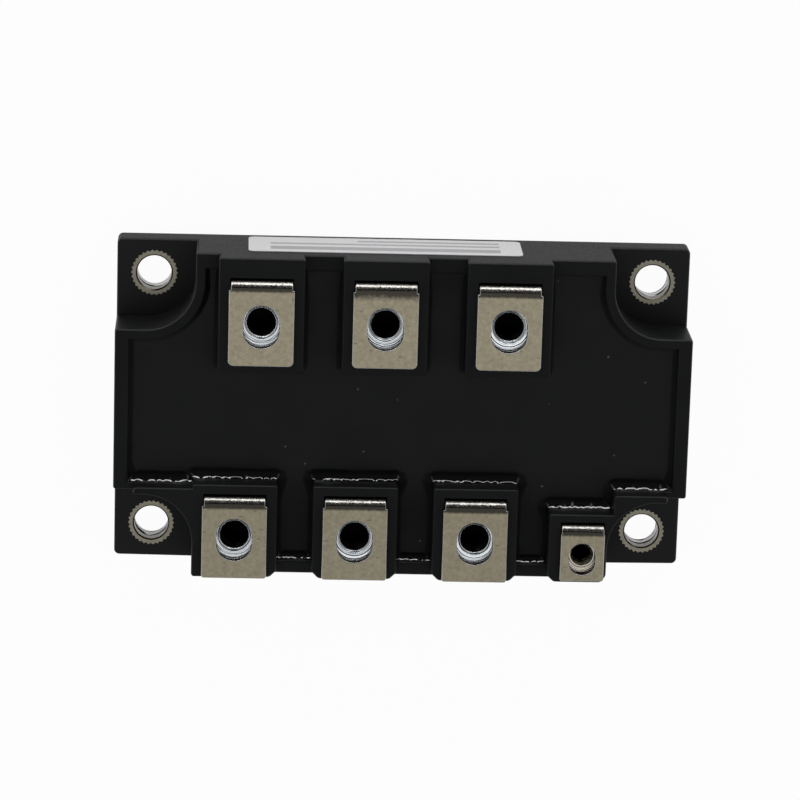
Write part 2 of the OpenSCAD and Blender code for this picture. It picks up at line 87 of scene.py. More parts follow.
# %% [markdown]
# Every finish is a small tree of nodes on Object coordinates, so a pattern keeps its real size and
# stays put on each piece. Nodes could be set one socket at a time, but that hides what a finish
# does. These helpers save the typing: they start a tree, add a node, and read where a point lies,
# which way it faces and what number its mesh carries there.

# %% Node helpers
def start_finish(name):
    material = bpy.data.materials.new(name)
    material.use_nodes = True
    tree = material.node_tree
    shader = tree.nodes["Principled BSDF"]
    place = tree.nodes.new("ShaderNodeTexCoord").outputs["Object"]
    return material, tree, shader, place


def add_node(tree, kind, links=None, **sockets):
    node = tree.nodes.new(kind)
    for name, value in sockets.items():
        node.inputs[name.replace("_", " ")].default_value = value
    for name, source in (links or {}).items():
        tree.links.new(source, node.inputs[name])
    return node


def split(tree, vector):
    """The X, Y and Z parts of a vector."""
    return add_node(tree, "ShaderNodeSeparateXYZ", {0: vector}).outputs


def facing_parts(tree):
    """The X, Y and Z parts of the way a surface faces."""
    return split(tree, add_node(tree, "ShaderNodeTexCoord").outputs["Normal"])


def stored_field(tree, name):
    """A number or vector that the mesh carries under a name."""
    node = add_node(tree, "ShaderNodeAttribute")
    node.attribute_name = name
    return node.outputs


print("node helpers ready")

# %% [markdown]
# Patterns are built from a few kinds of field. Noise gives drift and grain, cells give scattered
# dots, a ramp turns a field into colours or numbers, and a range stretches it between two limits.
# Pictures of real surfaces could be used instead, but they would repeat, and a field never does.

# %% Field helpers
def add_noise(tree, place, size, detail=3.0, stretch=(1, 1, 1)):
    """Noise whose features are about size millimetres, drawn out along an axis by stretch."""
    mapping = add_node(tree, "ShaderNodeMapping", {"Vector": place}, Scale=[1 / s for s in stretch])
    field = add_node(tree, "ShaderNodeTexNoise", {"Vector": mapping.outputs[0]},
                     Scale=1 / (size * MM), Detail=detail)
    return field.outputs["Fac"]


def add_cells(tree, place, size):
    """Distance from the middles of scattered cells about size millimetres apart."""
    cells = add_node(tree, "ShaderNodeTexVoronoi", {"Vector": place}, Scale=1 / (size * MM))
    return cells.outputs["Distance"]


def add_ramp(tree, field, stops, socket=None):
    ramp = add_node(tree, "ShaderNodeValToRGB", {"Fac": field})
    steps = ramp.color_ramp.elements
    while len(steps) < len(stops):
        steps.new(0.5)
    for step, (where, colour) in zip(steps, stops):
        step.position = where
        step.color = (*colour, 1) if isinstance(colour, tuple) else (colour, colour, colour, 1)
    if socket:
        tree.links.new(ramp.outputs["Color"], socket)
    return ramp.outputs["Color"]


def add_range(tree, field, start, end, low=0.0, high=1.0):
    """Low where the field is at start, high where it is at end, held beyond both."""
    mapped = add_node(tree, "ShaderNodeMapRange", {"Value": field}, From_Min=start, From_Max=end,
                      To_Min=low, To_Max=high)
    return mapped.outputs[0]


print("field helpers ready")

# %% [markdown]
# Fields then have to be put together. A mix blends two by a third, and sums, products and tests
# are single steps. A socket can take a field or a plain number, so one helper sorts out which it
# got. Relief bends the light as if a field were a height, for marks too fine to model.

# %% Blend helpers
def connect(tree, sources, sockets):
    """Links each field to its socket, or sets the socket to a plain value."""
    for source, socket in zip(sources, sockets):
        if hasattr(source, "is_linked"):
            tree.links.new(source, socket)
        else:
            socket.default_value = source


def add_mix(tree, factor, first, second, socket=None, kind="RGBA"):
    """Mixes two colours or numbers, each a link or a plain value, by a field."""
    mix = tree.nodes.new("ShaderNodeMix")
    mix.data_type = kind
    connect(tree, (factor, first, second), [entry for entry in mix.inputs if entry.enabled])
    mixed = [entry for entry in mix.outputs if entry.enabled][0]
    if socket:
        tree.links.new(mixed, socket)
    return mixed


def add_operation(tree, kind, operation, sources):
    node = tree.nodes.new(kind)
    node.operation = operation
    connect(tree, sources, node.inputs)
    return node.outputs


def add_math(tree, operation, *sources):
    return add_operation(tree, "ShaderNodeMath", operation, sources)[0]


def add_vector_math(tree, operation, *sources):
    return add_operation(tree, "ShaderNodeVectorMath", operation, sources)


def add_relief(tree, shader, field, depth, strength):
    bump = add_node(tree, "ShaderNodeBump", {"Height": field}, Strength=strength,
                    Distance=depth * MM)
    tree.links.new(bump.outputs["Normal"], shader.inputs["Normal"])


print("blend helpers ready")

# %% [markdown]
# The case is moulded from a glass-filled black plastic with a fine spark-eroded grain. A plain
# dark colour would look like paint, so two blacks drift into each other and the grain is a shallow
# relief. The low ears are a little paler with dust and the rear wall is duller. Rounded edges that
# look to the rear, towards the rear softbox, get a stronger reflection: a painted highlight that
# draws a fine bright line along them. Height, place and the way a face looks tell them apart.

# %% Moulded black plastic
CASE_BLACKS = [(0.35, (0.0075, 0.0079, 0.0086)), (0.65, (0.0092, 0.0097, 0.0105))]
CASE_ROUGHNESS = [(0.3, 0.40), (0.7, 0.52)]
DUSTY_BLACK = (0.0145, 0.0149, 0.0157, 1)
DUST_NONE_Z, DUST_FULL_Z = 10, 6
DUST_UPWARD = 0.8
CASE_SHEEN, REAR_SHEEN, PAINTED_EDGE_HIGHLIGHT = 0.07, 0.042, 0.3
EDGE_TILT = [(0.2, 0.0), (0.4, 1.0), (0.85, 1.0), (0.97, 0.0)]
EDGE_REARWARD = (-0.12, 0.2)
WALL_SKIN = 0.1


def moulded_plastic():
    material, tree, shader, place = start_finish("moulded_black_plastic")
    drift = add_noise(tree, place, size=9.0)
    grain = add_noise(tree, place, size=0.35, detail=2.0)
    black = add_ramp(tree, drift, CASE_BLACKS)
    spot, facing = split(tree, place), facing_parts(tree)
    low = add_range(tree, spot["Z"], DUST_NONE_Z * MM, DUST_FULL_Z * MM)
    upward = add_math(tree, "GREATER_THAN", facing["Z"], DUST_UPWARD)
    dusty = add_math(tree, "MULTIPLY", low, upward)
    add_mix(tree, dusty, black, DUSTY_BLACK, shader.inputs["Base Color"])
    add_ramp(tree, grain, CASE_ROUGHNESS, shader.inputs["Roughness"])
    rear_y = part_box("case")[1].y
    rear_wall = add_math(tree, "GREATER_THAN", spot["Y"], rear_y - WALL_SKIN * MM)
    sheen = add_mix(tree, rear_wall, CASE_SHEEN, REAR_SHEEN, kind="FLOAT")
    # Rounded edges that look to the rear get a stronger reflection: a painted highlight.
    tilt = add_ramp(tree, facing["Z"], EDGE_TILT)
    edge = add_math(tree, "MULTIPLY", tilt, add_range(tree, facing["Y"], *EDGE_REARWARD))
    add_mix(tree, edge, sheen, PAINTED_EDGE_HIGHLIGHT, shader.inputs["Specular IOR Level"], "FLOAT")
    add_relief(tree, shader, grain, depth=0.02, strength=0.5)
    return material


CASE_FINISH = moulded_plastic()
print("finish:", CASE_FINISH.name)

# %% [markdown]
# The resin is poured in and sets with a dull skin, a few dust specks and a wet-looking rim where
# it creeps up the walls. The rim could be a second material, but then a hard border would show.
# Instead the rim's mesh carries a number called gloss, and the finish goes from skin to rim by it:
# first it turns smooth, then it starts to shine. In the slots at the front the skin reflects less,
# painted shade where the blocks would shade it, and where it climbs a side wall its reflection is
# cut further, painted shade beside the walls.

# %% Cast resin
RESIN_BLACKS = [(0.35, (0.0040, 0.0043, 0.0045)), (0.65, (0.0055, 0.0058, 0.0061))]
SKIN_ROUGHNESS = [(0.3, 0.36), (0.7, 0.5)]
RIM_ROUGHNESS = 0.07
SHINE_START = 0.5
SKIN_SHINE, SHADED_SLOT_SHINE = 0.13, 0.09
SKIN_Y, SLOT_Y = -10, -18
SIDE_PAINTED_SHADE = [(0.0, 1.0), (0.3, 0.42)]
COAT_IOR, COAT_ROUGHNESS = 1.8, 0.05
SPECK_SIZE = [(0.03, 1.0), (0.045, 0.0)]
SPECK_GREY = (0.09, 0.09, 0.085, 1)


def cast_resin():
    material, tree, shader, place = start_finish("black_cast_resin")
    mottle = add_noise(tree, place, size=6.0, detail=5.0)
    rim = stored_field(tree, "gloss")["Fac"]
    smooth = add_range(tree, rim, 0.0, SHINE_START)
    gloss = add_range(tree, rim, SHINE_START, 1.0)
    # Less reflection in the front slots and on slopes that face the sides: painted shade.
    across = split(tree, place)["Y"]
    shine = add_range(tree, across, SKIN_Y * MM, SLOT_Y * MM, SKIN_SHINE, SHADED_SLOT_SHINE)
    aside = add_math(tree, "ABSOLUTE", facing_parts(tree)["X"])
    shine_with_shade = add_math(tree, "MULTIPLY", shine, add_ramp(tree, aside, SIDE_PAINTED_SHADE))
    skin = add_ramp(tree, mottle, SKIN_ROUGHNESS)
    add_mix(tree, smooth, skin, RIM_ROUGHNESS, shader.inputs["Roughness"], "FLOAT")
    add_mix(tree, gloss, shine_with_shade, 1.0, shader.inputs["Specular IOR Level"], "FLOAT")
    tree.links.new(gloss, shader.inputs["Coat Weight"])
    shader.inputs["Coat IOR"].default_value = COAT_IOR
    shader.inputs["Coat Roughness"].default_value = COAT_ROUGHNESS
    black = add_ramp(tree, mottle, RESIN_BLACKS)
    speck = add_ramp(tree, add_cells(tree, place, size=5.0), SPECK_SIZE)
    add_mix(tree, speck, black, SPECK_GREY, shader.inputs["Base Color"])
    add_relief(tree, shader, mottle, depth=0.03, strength=0.4)
    return material


RESIN_FINISH = cast_resin()
print("finish:", RESIN_FINISH.name)

# %% [markdown]
# A terminal is a bent strip. Its bend and rolled edges get a paler metal colour, a painted
# highlight that brightens the line the rear softbox draws on them, and a ragged band of the pad
# beside the bend is painted dark, a painted reflection that widens the dark stretch mirrored in the
# bend. Both could be painted on by hand, but that would have to be done again for every change of
# shape. Two masks find them instead. One goes by the way a face looks, the other by numbers stored
# on each terminal's mesh: bend_y, where the bend starts, and bend_w, the width of the band.

# %% Masks for bent strip
# Dark band on the pad beside a bend: a painted dark reflection.
PAINTED_DARK_BAND = (0.05, 0.046, 0.037, 1)
# Paler metal on bends and rolled edges: a painted highlight.
BEND_HIGHLIGHT_PLATING = (0.52, 0.51, 0.49, 1)
BEND_HIGHLIGHT_SHARE = 0.8
FLAT_UPWARD = 0.93
BEND_UPWARD = (0.999, 0.96)
BAND_LIMITS = (-0.75, 0.2)


def bend_mask(tree):
    """Zero on flat faces that look up, one on bends and rolled edges."""
    return add_range(tree, facing_parts(tree)["Z"], *BEND_UPWARD)


def beside_bend(tree, place):
    """One along the start of a bend, falling to zero on the pad, with a ragged border."""
    start, width = (stored_field(tree, name)["Fac"] for name in ("bend_y", "bend_w"))
    offset = add_math(tree, "SUBTRACT", split(tree, place)["Y"], start)
    reach = add_math(tree, "ADD", add_math(tree, "DIVIDE", offset, width),
                     add_noise(tree, place, size=0.6, detail=4.0))
    flat = add_math(tree, "GREATER_THAN", facing_parts(tree)["Z"], FLAT_UPWARD)
    return add_math(tree, "MULTIPLY", add_range(tree, reach, *BAND_LIMITS), flat)


print("masks for bent strip ready")

# %% [markdown]
# Terminals and base plate are nickel plated, which is warmer than steel. Rolled metal has faint
# lines along its length, a grainy bloom and a few handling marks. One noise is drawn out for the
# lines, a fine one gives the bloom, and the marks come from the middles of scattered cells. The
# walls of the holes get a near-black finish of their own, painted shade in the holes over a cut
# edge. The three could be written one by one, but they differ only in tone, shine and the way the
# lines run, so one function makes them. Only the terminals get a wave, the strength of the ripples
# on a bend, and a front value, which makes the colour of the front row a little darker.

# %% Plated metals
NOISE_LIMITS = (0.3, 0.7)
MARK_STRETCH = (0.35, 1, 1)
MARK_SIZE = [(0.07, 0.45), (0.13, 0.0)]
MARK_SHADE = 0.3
LINE_ROUGHNESS = 0.12
ROW_Y = 8


def plated_metal(name, dark, light, shine, line_axis, wave=0.0, front=1.0):
    material, tree, shader, place = start_finish(name)
    shader.inputs["Metallic"].default_value = 1.0
    bloom = add_noise(tree, place, size=0.7, detail=6.0)
    lines = add_noise(tree, place, size=0.25, detail=2.0, stretch=line_axis)
    plating = add_ramp(tree, bloom, [*zip(NOISE_LIMITS, (dark, light))])
    spread = add_node(tree, "ShaderNodeMapping", {"Vector": place}, Scale=MARK_STRETCH).outputs[0]
    mark = add_ramp(tree, add_cells(tree, spread, size=1.5), MARK_SIZE)
    plating = add_mix(tree, mark, plating, (*[MARK_SHADE * part for part in dark], 1))
    relief = lines
    if wave:
        # Bends and rolled edges get the paler metal of a painted highlight.
        bent = bend_mask(tree)
        bend_highlight = add_math(tree, "MULTIPLY", bent, BEND_HIGHLIGHT_SHARE)
        plating = add_mix(tree, bend_highlight, plating, BEND_HIGHLIGHT_PLATING)
        # The band beside the bend is painted dark: a painted reflection.
        plating = add_mix(tree, beside_bend(tree, place), plating, PAINTED_DARK_BAND)
        ripple = add_math(tree, "MULTIPLY", add_noise(tree, place, size=0.45, detail=4.0), bent)
        relief = add_math(tree, "MULTIPLY_ADD", ripple, wave, lines)
    # The front row's colour is made a little darker.
    front_row_tone = add_range(tree, split(tree, place)["Y"], -ROW_Y * MM, ROW_Y * MM, front)
    dulled = add_node(tree, "ShaderNodeHueSaturation", {"Color": plating, "Value": front_row_tone})
    tree.links.new(dulled.outputs["Color"], shader.inputs["Base Color"])
    roughness = [*zip(NOISE_LIMITS, (shine, shine + LINE_ROUGHNESS))]
    add_ramp(tree, lines, roughness, shader.inputs["Roughness"])
    add_relief(tree, shader, relief, depth=0.006, strength=0.6)
    return material


TERMINAL_FINISH = plated_metal("terminal_nickel", (0.232, 0.206, 0.147), (0.308, 0.276, 0.200),
                               shine=0.17, line_axis=(1, 14, 1), wave=16.0, front=0.85)
PLATE_FINISH = plated_metal("base_plate_nickel", (0.56, 0.53, 0.47), (0.70, 0.67, 0.60),
                            shine=0.32, line_axis=(14, 1, 1))
# Near-black for the walls of the holes: painted shade over a cut edge.
HOLE_WALL_SHADE_FINISH = plated_metal("hole_wall_painted_shade", (0.04, 0.037, 0.03), (0.08, 0.074, 0.06),
                              shine=0.45, line_axis=(1, 1, 8))
print("finishes:", TERMINAL_FINISH.name, PLATE_FINISH.name, HOLE_WALL_SHADE_FINISH.name)

# %% [markdown]
# A sleeve is knurled outside so that the plastic grips it. Its end is bright and a darker collar
# lies just inside the mouth. The bore below is painted near-black, painted shade deep in the hole,
# with one uneven ring of bright metal left in it, and it is scored by the drawing tool. Rings cut
# into the mesh would be too even, so the end is told from the bore by the way the surface faces,
# and the rings follow the height, pushed about by noise.

# %% Sleeve metal
SLEEVE_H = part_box("sleeve_rear_left")[1].z
END_TONES = [(0.3, (0.150, 0.140, 0.110)), (0.7, (0.250, 0.233, 0.187))]
END_UPWARD = (0.8, 0.95)
SLEEVE_ROUGHNESS = [(0.3, 0.26), (0.7, 0.42)]
BORE_SHADE_RINGS = [(0.0, 0.01), (0.27, 0.02), (0.36, 0.50), (0.57, 0.55), (0.62, 0.02)]
METAL_LEFT_TONE = 0.15
SCORE_STRETCH = (40, 40, 1)
SCORES = [(0.42, 0.3), (0.58, 1.0)]
SHIFT_REACH = 4.0
SHIFT_MEAN = SHIFT_REACH / 2
COLLAR_TOP, COLLAR_H = 0.15, 2.1
COLLAR_SHIFT = 0.2
COLLAR_METAL = (0.095, 0.088, 0.070, 1)


def sleeve_metal():
    material, tree, shader, place = start_finish("sleeve_nickel")
    bloom = add_noise(tree, place, size=0.8, detail=6.0)
    height = split(tree, place)["Z"]
    patches = add_noise(tree, place, size=3.5, detail=1.0)
    level_shift = add_math(tree, "MULTIPLY", patches, SHIFT_REACH * MM)
    level = add_math(tree, "DIVIDE", add_math(tree, "ADD", height, level_shift),
                     SLEEVE_H + SHIFT_MEAN * MM)
    # Painted shade in the bore: near-black except one uneven ring of bright metal.
    bore = add_ramp(tree, level, BORE_SHADE_RINGS)
    scored = add_ramp(tree, add_noise(tree, place, size=0.5, stretch=SCORE_STRETCH), SCORES)
    uneven = add_math(tree, "MULTIPLY_ADD", level_shift, COLLAR_SHIFT, height)
    collar_middle = COLLAR_SHIFT * SHIFT_MEAN - COLLAR_TOP - COLLAR_H / 2
    collar = add_math(tree, "COMPARE", uneven, SLEEVE_H + collar_middle * MM, COLLAR_H / 2 * MM)
    ringed = add_mix(tree, collar, add_math(tree, "MULTIPLY", bore, scored), COLLAR_METAL)
    metal_left = add_math(tree, "MAXIMUM", collar, add_math(tree, "GREATER_THAN", bore, METAL_LEFT_TONE))
    on_end = add_range(tree, facing_parts(tree)["Z"], *END_UPWARD)
    end = add_ramp(tree, bloom, END_TONES)
    add_mix(tree, on_end, ringed, end, shader.inputs["Base Color"])
    add_mix(tree, on_end, metal_left, 1.0, shader.inputs["Metallic"], "FLOAT")
    shader.inputs["Specular IOR Level"].default_value = 0.0
    add_ramp(tree, bloom, SLEEVE_ROUGHNESS, shader.inputs["Roughness"])
    add_relief(tree, shader, add_math(tree, "MULTIPLY", bloom, on_end), depth=0.01, strength=0.5)
    return material


SLEEVE_FINISH = sleeve_metal()
print("finish:", SLEEVE_FINISH.name, "sleeve height in mm:", round(SLEEVE_H / MM, 2))

# %% [markdown]
# A nut is bright zinc outside, and its thread is painted dark: painted shade deep in the bore.
# Where the dark begins could be painted face by face. The nut's axis is stored on its mesh instead,
# and the finish measures the distance from it: painted shade up to the mouth, a bright ring, a thin
# dark line of painted shadow, then a face with turned grooves. The axis also shifts the grooves, so
# that no two nuts look alike.

# %% Zinc and painted shade
MAIN_SHADE_R, GATE_SHADE_R = 2.72, 1.75
MOUTH_SHADE_RINGS = [(0.494, 0.0), (0.502, 1.0), (0.668, 1.0), (0.676, 0.1), (0.690, 0.1), (0.700, 1.0)]
PAINTED_SHADE_BLACK = (0.012, 0.012, 0.014, 1)
ZINC_ROUGHNESS = [(0.3, 0.14), (0.7, 0.28)]
GROOVES = 24
GROOVE_LIMITS = (0.42, 0.53)
GROOVE_DRIFT = 0.06
NUT_SHIFT = (700, 300, 0)


def zinc_with_painted_shade(name, shade_r, dark, light):
    material, tree, shader, place = start_finish(name)
    shader.inputs["Metallic"].default_value = 1.0
    axis = stored_field(tree, "nut_axis")["Vector"]
    offset = add_vector_math(tree, "SUBTRACT", place, axis)["Vector"]
    level = add_vector_math(tree, "MULTIPLY", offset, (1, 1, 0))["Vector"]
    reach = add_vector_math(tree, "LENGTH", level)["Value"]
    share = add_math(tree, "DIVIDE", reach, 2 * shade_r * MM)
    # Painted shade inside the mouth, and a thin line of painted shadow round it.
    bright = add_ramp(tree, share, MOUTH_SHADE_RINGS)
    shift = add_vector_math(tree, "DOT_PRODUCT", axis, NUT_SHIFT)["Value"]
    patchy = add_math(tree, "MULTIPLY", add_noise(tree, place, size=1.5), GROOVE_DRIFT)
    groove = add_node(tree, "ShaderNodeTexNoise", Scale=GROOVES)
    groove.noise_dimensions = "1D"
    turns = add_math(tree, "ADD", add_math(tree, "ADD", share, patchy), shift)
    tree.links.new(turns, groove.inputs["W"])
    turned = groove.outputs["Fac"]
    zinc = add_ramp(tree, turned, [*zip(GROOVE_LIMITS, (dark, light))])
    add_mix(tree, bright, PAINTED_SHADE_BLACK, zinc, shader.inputs["Base Color"])
    bloom = add_noise(tree, place, size=0.4, detail=5.0)
    add_ramp(tree, bloom, ZINC_ROUGHNESS, shader.inputs["Roughness"])
    add_relief(tree, shader, turned, depth=0.05, strength=0.5)
    return material


NUT_FINISH = zinc_with_painted_shade("nut_zinc_main", MAIN_SHADE_R, (0.12, 0.14, 0.15), (0.93, 0.97, 1.0))
GATE_NUT_FINISH = zinc_with_painted_shade("nut_zinc_gate", GATE_SHADE_R, (0.10, 0.09, 0.07), (0.72, 0.68, 0.58))
print("finishes:", NUT_FINISH.name, GATE_NUT_FINISH.name)

# %% [markdown]
# The sticker on the rear wall is satin paper, with a broad plain grey bar and two thin ones below
# it, all starting at the same margin. Thin solids could be laid on it, but they would flicker
# against the paper. Here each bar is a pair of limits on the Object coordinates, given as shares
# of the label's box, and the paper has a shallow fibre.

# %% Label paper
PAPER_WHITES = [(0.3, (0.66, 0.66, 0.67)), (0.7, (0.72, 0.72, 0.73))]
PAPER_ROUGHNESS = 0.5
LABEL_MARGIN = 0.08
# End, bottom and top of each bar
LABEL_BARS = [(0.92, 0.62, 0.84), (0.92, 0.38, 0.48), (0.60, 0.16, 0.26)]
BAR_GREY = (0.36, 0.36, 0.37, 1)


def within(tree, value, low, high):
    """One between two limits, zero outside them."""
    return add_math(tree, "COMPARE", value, (low + high) / 2, (high - low) / 2)


def label_paper():
    material, tree, shader, place = start_finish("label_satin_paper")
    fibre = add_noise(tree, place, size=0.6, detail=5.0)
    paper = add_ramp(tree, fibre, PAPER_WHITES)
    spot = split(tree, place)
    label_low, label_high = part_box("label")
    label_size = label_high - label_low
    margin_x = label_high.x - LABEL_MARGIN * label_size.x
    grey = 0.0
    for end, bottom, top in LABEL_BARS:
        across = within(tree, spot["X"], label_high.x - end * label_size.x, margin_x)
        upright = within(tree, spot["Z"], label_low.z + bottom * label_size.z,
                         label_low.z + top * label_size.z)
        grey = add_math(tree, "MAXIMUM", grey, add_math(tree, "MULTIPLY", across, upright))
    add_mix(tree, grey, paper, BAR_GREY, shader.inputs["Base Color"])
    shader.inputs["Roughness"].default_value = PAPER_ROUGHNESS
    add_relief(tree, shader, fibre, depth=0.01, strength=0.3)
    return material


LABEL_FINISH = label_paper()
print("finish:", LABEL_FINISH.name, "bars:", len(LABEL_BARS))

# %% [markdown]
# Copper, ceramic, silicon and gel are sealed inside. They are never seen, but a model that is
# taken apart on screen should still show what each one is. Each gets two tones in a soft cloud,
# which is enough for a part that only has to be recognised.

# %% Materials inside the case
CLOUD_LIMITS = (0.35, 0.65)


def inner_material(name, dark, light, roughness, metallic=0.0, size=2.0):
    material, tree, shader, place = start_finish(name)
    cloud = add_noise(tree, place, size, detail=4.0)
    add_ramp(tree, cloud, [*zip(CLOUD_LIMITS, (dark, light))], shader.inputs["Base Color"])
    shader.inputs["Roughness"].default_value = roughness
    shader.inputs["Metallic"].default_value = metallic
    add_relief(tree, shader, cloud, depth=0.01, strength=0.3)
    return material


COPPER_FINISH = inner_material("bare_copper", (0.62, 0.30, 0.17), (0.72, 0.40, 0.25),
                               roughness=0.35, metallic=1.0)
CERAMIC_FINISH = inner_material("substrate_ceramic", (0.80, 0.78, 0.72), (0.86, 0.85, 0.80),
                                roughness=0.6)
SILICON_FINISH = inner_material("chip_silicon", (0.16, 0.17, 0.19), (0.22, 0.23, 0.25),
                                roughness=0.3, metallic=0.6)
GEL_FINISH = inner_material("silicone_gel", (0.70, 0.74, 0.77), (0.78, 0.82, 0.84),
                            roughness=0.2, size=8.0)
print("finishes:", COPPER_FINISH.name, CERAMIC_FINISH.name, SILICON_FINISH.name, GEL_FINISH.name)

# %% [markdown]
# The record says which kind of material each solid is made of. Finishes could be given one by one,
# but a table from kind to finish dresses all the solids in one loop, and no solid is forgotten.

# %% Give each solid its finish
FINISH_OF_SLOT = {
    "case": CASE_FINISH, "potting": RESIN_FINISH, "terminal_metal": TERMINAL_FINISH,
    "sleeve_metal": SLEEVE_FINISH, "base_metal": PLATE_FINISH, "nut_metal": NUT_FINISH,
    "copper": COPPER_FINISH, "ceramic": CERAMIC_FINISH, "silicon": SILICON_FINISH,
    "gel": GEL_FINISH, "label": LABEL_FINISH}
slot_of_node = {part["node"]: part["material_slot"] for part in frame["record"]["subparts"]}


def put_finish(piece, slot):
    piece.data.materials.clear()
    piece.data.materials.append(FINISH_OF_SLOT[slot])


for name, solid in nodes.items():
    put_finish(solid, slot_of_node[name])
print("solids with a finish:", len(nodes))

# %% [markdown]
# A solid's mesh is loose triangles with hard edges. Real mouldings and stampings have small radii
# that catch the light, so visible solids are copied, merged back into whole faces and bevelled.

# %% Copy helpers
MERGE_GAP = 0.001
FLAT_DEGREES = 0.3


def only(piece):
    bpy.ops.object.select_all(action="DESELECT")
    piece.select_set(True)
    bpy.context.view_layer.objects.active = piece


def merged_copy(node, name):
    piece = bpy.data.objects.new(name, nodes[node].data.copy())
    bpy.context.scene.collection.objects.link(piece)
    only(piece)
    bpy.ops.mesh.customdata_custom_splitnormals_clear()
    bpy.ops.object.mode_set(mode="EDIT")
    bpy.ops.mesh.select_all(action="SELECT")
    bpy.ops.mesh.remove_doubles(threshold=MERGE_GAP * MM)
    bpy.ops.mesh.dissolve_limited(angle_limit=math.radians(FLAT_DEGREES))
    bpy.ops.object.mode_set(mode="OBJECT")
    return piece


def axis_of(node):
    low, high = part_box(node)
    return (low + high) / 2


def finish_piece(piece, *replaced):
    slot = slot_of_node[replaced[0]]
    put_finish(piece, slot)
    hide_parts(*replaced)
    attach(piece, "root")


print("copy helpers ready")

# %% [markdown]
# A bevel on every edge would also cut the seams between the flat strips of a curve. So an edge is
# rounded only where two faces meet at a clear outside angle. The bevel isn't allowed to slide
# along neighbouring edges, because on a flat face with long thin parts that can turn a triangle
# over.

# %% Bevel helpers
SHARP_DEGREES = 35
SMOOTH_DEGREES = 50


def is_corner(edge):
    outside = math.radians(SHARP_DEGREES)
    return len(edge.link_faces) == 2 and edge.calc_face_angle_signed() > outside


def select_edges(piece, wanted):
    """Selects the edges of a piece in edit mode for which wanted is true, and counts them."""
    bpy.ops.mesh.select_mode(type="EDGE")
    bpy.ops.mesh.select_all(action="DESELECT")
    mesh = bmesh.from_edit_mesh(piece.data)
    chosen = [edge for edge in mesh.edges if wanted(edge)]
    for edge in chosen:
        edge.select_set(True)
    bmesh.update_edit_mesh(piece.data)
    return len(chosen)


def smooth_flat(piece):
    """Smooth shading that leaves large flat faces flat."""
    only(piece)
    bpy.ops.object.shade_smooth_by_angle(angle=math.radians(SMOOTH_DEGREES))
    flat = piece.modifiers.new("flat", "WEIGHTED_NORMAL")
    flat.keep_sharp = True
    flat.weight = 100
    bpy.ops.object.modifier_apply(modifier="flat")


def round_edges(piece, wanted, radius, segments):
    only(piece)
    bpy.ops.object.mode_set(mode="EDIT")
    count = select_edges(piece, wanted)
    bpy.ops.mesh.bevel(offset=radius * MM, segments=segments, profile=0.5, clamp_overlap=False,
                       loop_slide=False)
    bpy.ops.object.mode_set(mode="OBJECT")
    smooth_flat(piece)
    return count


print("bevel helpers ready")

# %% [markdown]
# The case is one moulding: four ears, a rim, seven terminal blocks and the decks beside the front
# ears. Only its outside corners get a radius. The sleeve holes and the pockets under the pads keep
# their sharp edges, because metal covers them.

# %% Case
PADS = [name for name in nodes if name.startswith("terminal_")]
SLEEVES = [name for name in nodes if name.startswith("sleeve_")]
CASE_RADIUS = 0.45
CASE_SEGMENTS = 3
COVER_MARGIN = 0.5
WALL_DEPTH = 1.0
POOL_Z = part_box("potting")[1].z
covered = [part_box(name) for name in PADS + SLEEVES]
case_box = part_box("case")


def inside_box(point, box, margin):
    """Whether a point seen from above lies in a box that is widened by a margin."""
    low, high = box
    return all(low[i] - margin * MM < point[i] < high[i] + margin * MM for i in (0, 1))


def is_case_corner(edge):
    if not is_corner(edge):
        return False
    middle = (edge.verts[0].co + edge.verts[1].co) / 2
    if any(inside_box(middle, box, COVER_MARGIN) for box in covered):
        return False
    outside = not inside_box(middle, case_box, -WALL_DEPTH)
    return outside or max(vert.co.z for vert in edge.verts) > POOL_Z


case = merged_copy("case", "case_moulding")
rounded = round_edges(case, is_case_corner, CASE_RADIUS, CASE_SEGMENTS)
finish_piece(case, "case")
print("case corners rounded:", rounded, "faces:", len(case.data.polygons))

# %% [markdown]
# Resin wets the walls and climbs them before it sets, so the pool has a concave rim all round.
# Insetting the pool's face by hand folds over in the narrow gaps. Instead its outline is walked
# once and rings are laid inside it. This step finds the outline and stands a low wall on it, so
# that the distance of any point from the walls can be asked for.

# %% Outline of the pool
OUTLINE_STEP = 0.25


def pool_outline(piece):
    """The edge of the top face as points in order, with long sides cut into short steps."""
    top = max(piece.data.polygons, key=lambda face: (round(face.center.z, 5), face.area))
    corners = [Vector((*piece.data.vertices[i].co.xy, 0)) for i in top.vertices]
    points = []
    for here, there in zip(corners, corners[1:] + corners[:1]):
        count = max(1, round((there - here).length / (OUTLINE_STEP * MM)))
        points += [here.lerp(there, k / count) for k in range(count)]
    return points


resin = merged_copy("potting", "potting_resin")
outline = pool_outline(resin)
ring_size = len(outline)
ring_pairs = [(i, (i + 1) % ring_size) for i in range(ring_size)]
wall_verts = [point + Vector((0, 0, z * MM)) for z in (-1, 1) for point in outline]
wall_quads = [[i, j, j + ring_size, i + ring_size] for i, j in ring_pairs]
walls = BVHTree.FromPolygons(wall_verts, wall_quads)
print("outline points:", ring_size, "pool height in mm:", round(POOL_Z / MM, 2))

# %% [markdown]
# The resin climbs highest on walls that look to the rear, and less on the others. Its height falls
# in a slope, with a small beaded lip right at the wall, and two noises of different size keep both
# uneven. A single curve would look machined, because a liquid never creeps evenly.

